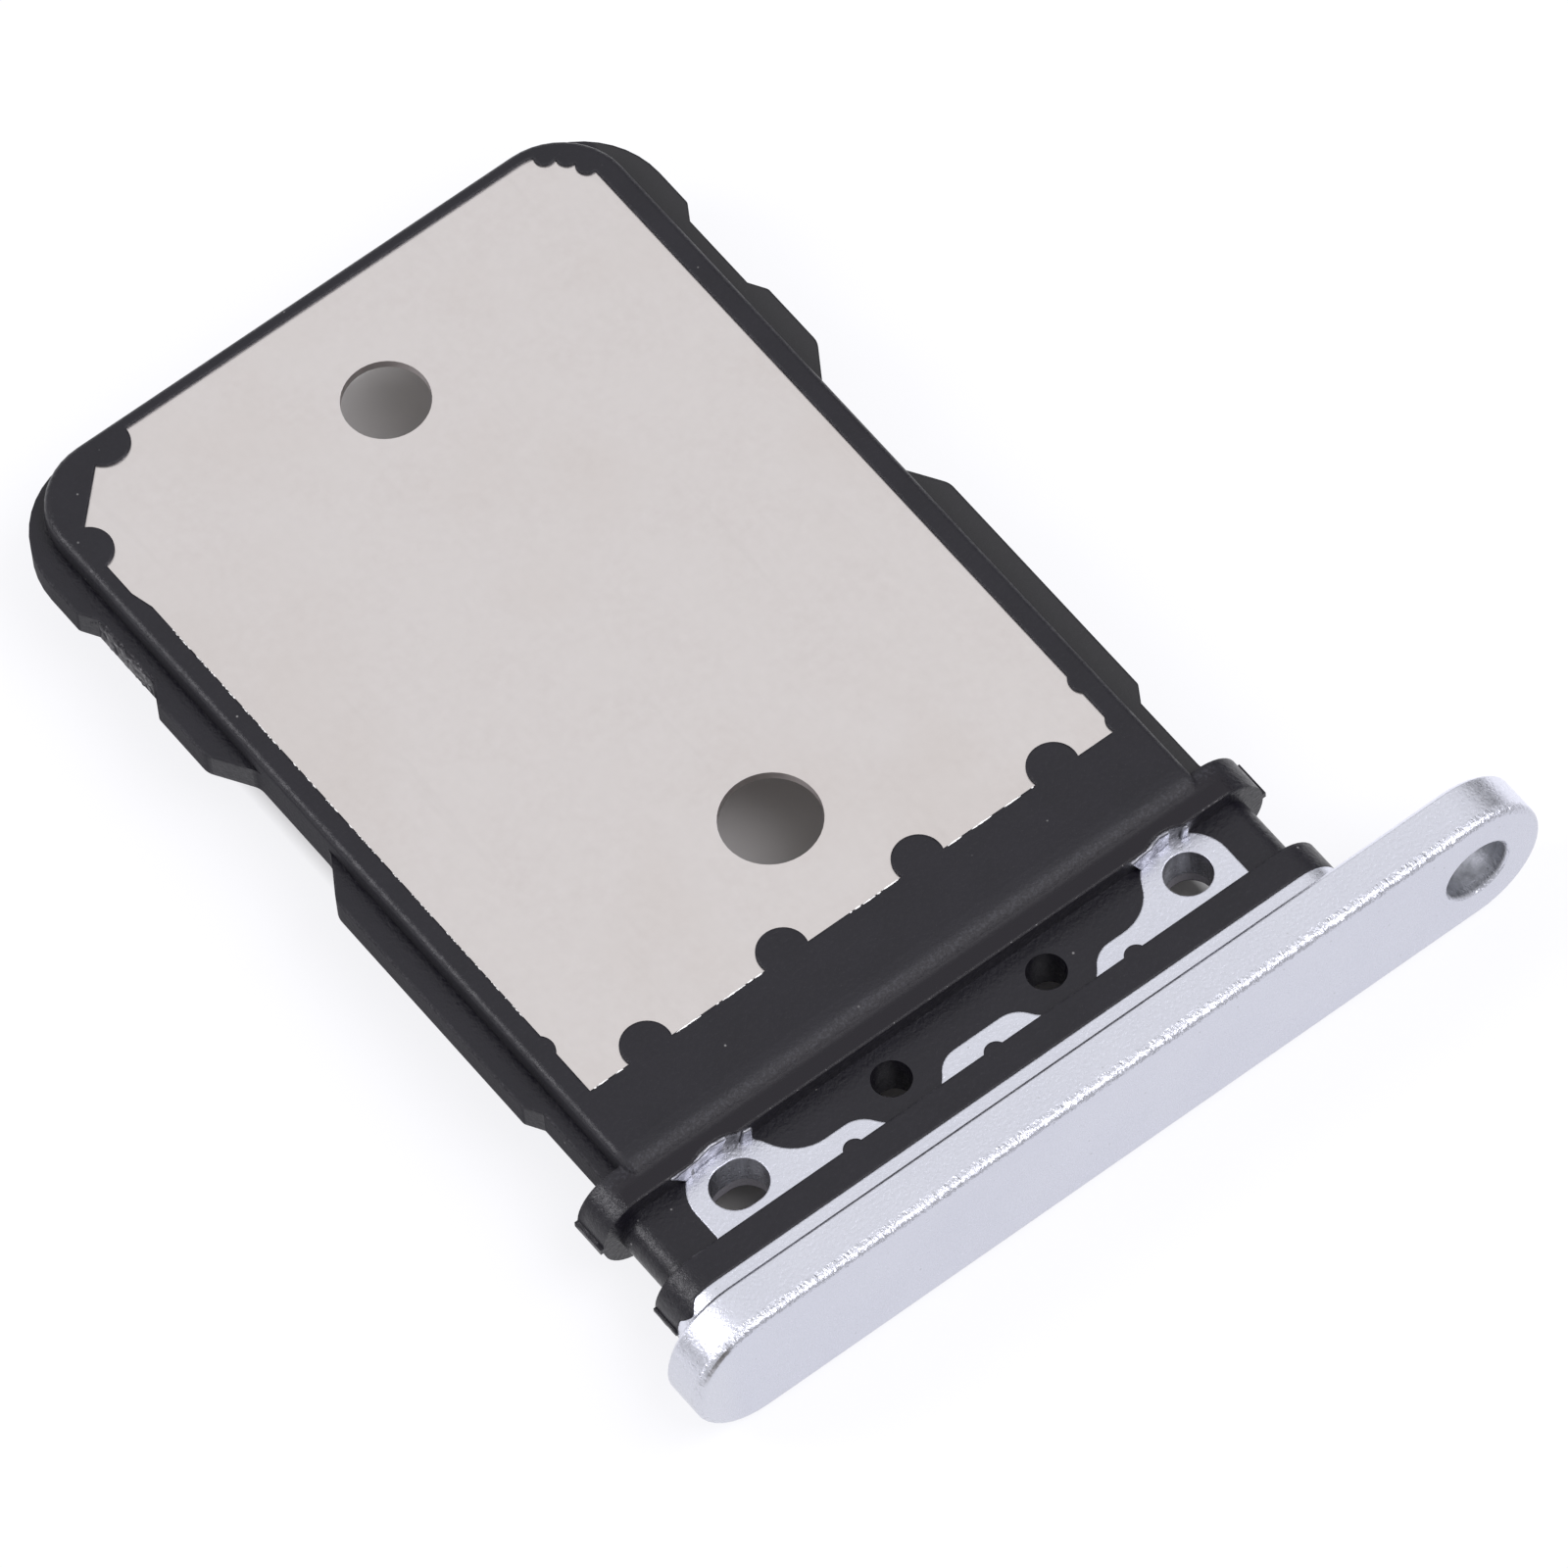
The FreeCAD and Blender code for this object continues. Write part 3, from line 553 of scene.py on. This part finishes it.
def add_boss_flap(material):
    """A ragged scrap of the front flange that runs out over the boss's left end."""
    middle_x, outer, inner = -4.95, 0.662, 0.640
    first_lean, sweep = 28, 40
    root, hidden, reach = 0.39, 0.40, 0.14
    across, along = 16, 6
    points, faces = [], []
    for radius in (outer, inner):
        for i in range(across + 1):
            lean = math.radians(first_lean + sweep * i / across)
            x, z = middle_x - radius * math.sin(lean), radius * math.cos(lean)
            swell = math.sin(math.pi * i / across)
            edge = root - reach * swell ** 1.5 + 0.02 * swell * ripple((x, 0, z), 0.06, 61)
            points.extend((x, edge + (hidden - edge) * j / along, z) for j in range(along + 1))
    stride, below = along + 1, (across + 1) * (along + 1)
    for i in range(across):
        for j in range(along):
            a = i * stride + j
            faces.append((a, a + 1, a + stride + 1, a + stride))
            faces.append((below + a, below + a + stride, below + a + stride + 1, below + a + 1))
        a = i * stride
        faces.append((a, a + stride, below + a + stride, below + a))
    for i in (0, across):
        for j in range(along):
            a = i * stride + j
            faces.append((a, below + a, below + a + 1, a + 1))
    add_piece("boss_flap", mesh_of(points, faces), material)


photo_camera()
dress("face_cap", cap_metal())
dress("support_plate", plate_steel())
plastic = frame_plastic()
dress("tray_frame", plastic)
add_collars(smeared_metal())
add_burrs(glint_painted_edge())
add_torn_waist(torn_plastic("torn_plastic", (0.024, 0.022, 0.028), (0.20, 0.195, 0.205)))
add_flash(torn_plastic("pale_flash", (0.10, 0.095, 0.10), (0.42, 0.41, 0.42)))
add_front_rib(plastic)
add_boss_flap(plastic)


# Stage

FLOOR_SIZE, FLOOR_LEVEL = 0.9, -1.12 * MM
TRAY_MIDDLE = Vector((0, 8, 0)) * MM
LIGHT_COLOUR = (0.965, 0.955, 1.0)
SKY_STOPS = ((0.0, 0.14), (0.14, 0.22), (0.38, 0.70), (1.0, 0.73))
FLAG_DIRECTION, FLAG_EDGE, FLAG_STRENGTH = (0.858, 0.436, 0.270), (0.93, 0.99), 0.35


def add_floor():
    """A pale floor that glows evenly, but not under the tray, where it shows through the holes as
    if in shade. It is clear from below, so that the tray's underside can be looked at."""
    mesh = bpy.data.meshes.new("floor")
    size, level = FLOOR_SIZE, FLOOR_LEVEL
    mesh.from_pydata([(-size, -size, level), (size, -size, level), (size, size, level),
                      (-size, size, level)], [], [(0, 1, 2, 3)])
    floor = bpy.data.objects.new("floor", mesh)
    bpy.context.scene.collection.objects.link(floor)
    m = Nodes("floor")
    m.set(Roughness=0.9, Emission_Strength=1.0)
    under = m.times(m.between("X", -4.2, 4.4, 0.5), m.between("Y", 1.2, 15.8, 0.7))
    m.wire(Base_Color=m.mix(under, (0.16, 0.16, 0.165), (0.60, 0.585, 0.575)),
           Emission_Color=m.mix(under, (0.81, 0.81, 0.83), 0.0))
    clear = m.new("ShaderNodeBsdfTransparent")
    side = m.new("ShaderNodeMixShader")
    m.join(m.new("ShaderNodeNewGeometry").outputs["Backfacing"], side.inputs["Fac"])
    m.join(m.shader.outputs["BSDF"], side.inputs[1])
    m.join(clear.outputs["BSDF"], side.inputs[2])
    m.join(side.outputs["Shader"], m.tree.nodes["Material Output"].inputs["Surface"])
    mesh.materials.append(m.material)


def add_light(name, direction, distance, size, watts):
    """A softbox in the given direction from the tray's middle, facing it."""
    place = TRAY_MIDDLE + Vector(direction).normalized() * distance
    data = bpy.data.lights.new(name, "AREA")
    data.shape = "RECTANGLE"
    data.size, data.size_y = size
    data.energy = watts
    data.color = LIGHT_COLOUR
    light = bpy.data.objects.new(name, data)
    bpy.context.scene.collection.objects.link(light)
    light.location = place
    light.rotation_mode = "QUATERNION"
    light.rotation_quaternion = (TRAY_MIDDLE - place).to_track_quat("-Z", "Y")


def add_sky():
    """An even pale studio, dimmer towards the horizon, with a dark flag beyond the right end."""
    world = bpy.data.worlds.new("world")
    bpy.context.scene.world = world
    world.use_nodes = True
    tree = world.node_tree
    background = tree.nodes["Background"]
    direction = tree.nodes.new("ShaderNodeTexCoord").outputs["Generated"]

    parts = tree.nodes.new("ShaderNodeSeparateXYZ")
    ramp = tree.nodes.new("ShaderNodeValToRGB")
    while len(ramp.color_ramp.elements) < len(SKY_STOPS):
        ramp.color_ramp.elements.new(0.5)
    for element, (position, grey) in zip(ramp.color_ramp.elements, SKY_STOPS):
        element.position = position
        element.color = rgba(grey)
    tree.links.new(direction, parts.inputs["Vector"])
    tree.links.new(parts.outputs["Z"], ramp.inputs["Fac"])
    tree.links.new(ramp.outputs["Color"], background.inputs["Color"])

    towards = tree.nodes.new("ShaderNodeVectorMath")
    towards.operation = "DOT_PRODUCT"
    tree.links.new(direction, towards.inputs[0])
    towards.inputs[1].default_value = FLAG_DIRECTION
    flag = tree.nodes.new("ShaderNodeMapRange")
    flag.inputs["From Min"].default_value, flag.inputs["From Max"].default_value = FLAG_EDGE
    flag.inputs["To Min"].default_value = 1.0
    flag.inputs["To Max"].default_value = FLAG_STRENGTH
    tree.links.new(towards.outputs["Value"], flag.inputs["Value"])
    tree.links.new(flag.outputs["Result"], background.inputs["Strength"])


add_sky()
add_floor()
add_light("key", (-0.60, 0.45, 0.64), 0.4, (0.11, 0.15), 0.40)
add_light("front", (0.278, -0.42, 0.86), 0.4, (0.29, 0.20), 0.78)
bpy.context.scene.view_settings.view_transform = "Standard"
